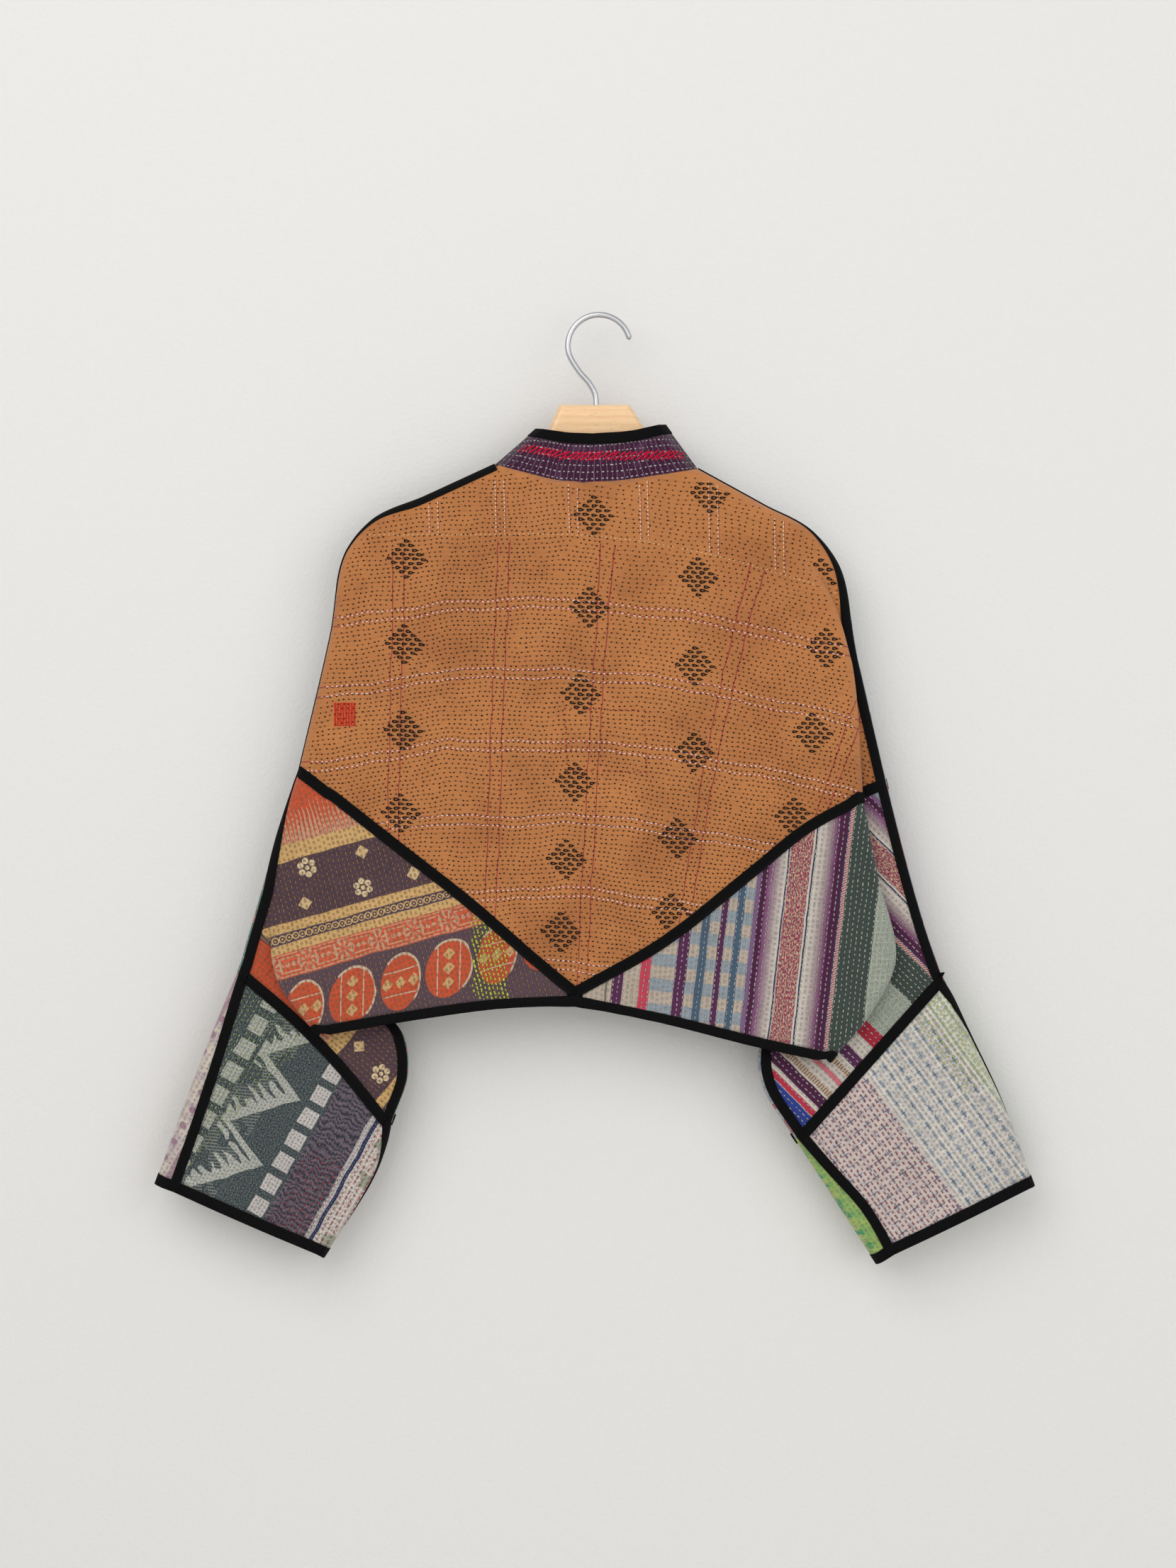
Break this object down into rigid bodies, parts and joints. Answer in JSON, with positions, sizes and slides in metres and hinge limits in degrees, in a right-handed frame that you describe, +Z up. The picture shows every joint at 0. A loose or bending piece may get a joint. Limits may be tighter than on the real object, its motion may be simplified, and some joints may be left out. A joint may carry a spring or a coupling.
{
  "type": "kantha jacket on a clothes hanger",
  "caption": "Cropped jacket of old quilted cotton with wide batwing sleeves, a band collar and black taped edges, hanging flat on a wooden hanger.",
  "frame": {"origin": "inner top of the hanger's hook, where it rests on what holds it", "axes": "+Z up, the jacket's back faces -Y and its front +Y, +X to the right of someone facing the back"},
  "size_m": [0.8085, 0.061, 0.8731],
  "materials": {
    "kantha_ochre": "matte quilted cotton",
    "kantha_plum": "matte quilted cotton",
    "kantha_vermilion": "matte quilted cotton",
    "kantha_stripe": "matte quilted cotton",
    "kantha_teal": "matte quilted cotton",
    "kantha_check": "matte quilted cotton",
    "kantha_olive": "matte quilted cotton",
    "kantha_pale_blue": "matte quilted cotton",
    "kantha_green": "matte quilted cotton",
    "kantha_grey": "matte quilted cotton",
    "kantha_cream": "matte quilted cotton",
    "kantha_lime": "matte quilted cotton",
    "black_tape": "matte cotton tape",
    "beech": "satin varnish",
    "hook_metal": "satin"
  },
  "bodies": {
    "root": {"back_center": "kantha_ochre", "collar": "kantha_plum", "back_side_left": "kantha_vermilion", "back_side_right": "kantha_stripe", "back_cuff_left": "kantha_teal", "back_cuff_right": "kantha_check", "front_left": "kantha_olive", "front_right": "kantha_pale_blue", "front_side_left": "kantha_green", "front_side_right": "kantha_grey", "front_cuff_left": "kantha_cream", "front_cuff_right": "kantha_lime", "tape_collar": "black_tape", "tape_cuff_hem_left": "black_tape", "tape_cuff_hem_right": "black_tape", "tape_front_left": "black_tape", "tape_front_right": "black_tape", "tape_hem_back": "black_tape", "tape_hem_front_left": "black_tape", "tape_hem_front_right": "black_tape", "tape_cuff_low_left": "black_tape", "tape_cuff_low_right": "black_tape", "tape_cuff_top_left": "black_tape", "tape_cuff_top_right": "black_tape", "tape_forearm_back_left": "black_tape", "tape_forearm_back_right": "black_tape", "tape_forearm_front_left": "black_tape", "tape_forearm_front_right": "black_tape", "tape_top_left": "black_tape", "tape_top_right": "black_tape", "tape_underarm_left": "black_tape", "tape_underarm_right": "black_tape", "tape_v_back_left": "black_tape", "tape_v_back_right": "black_tape", "tape_v_back_right_sleeve": "black_tape", "tape_v_front_left": "black_tape", "tape_v_front_right": "black_tape", "tape_v_front_right_sleeve": "black_tape", "hanger_wood": "beech", "hook": "hook_metal"}
  },
  "joints": []
}
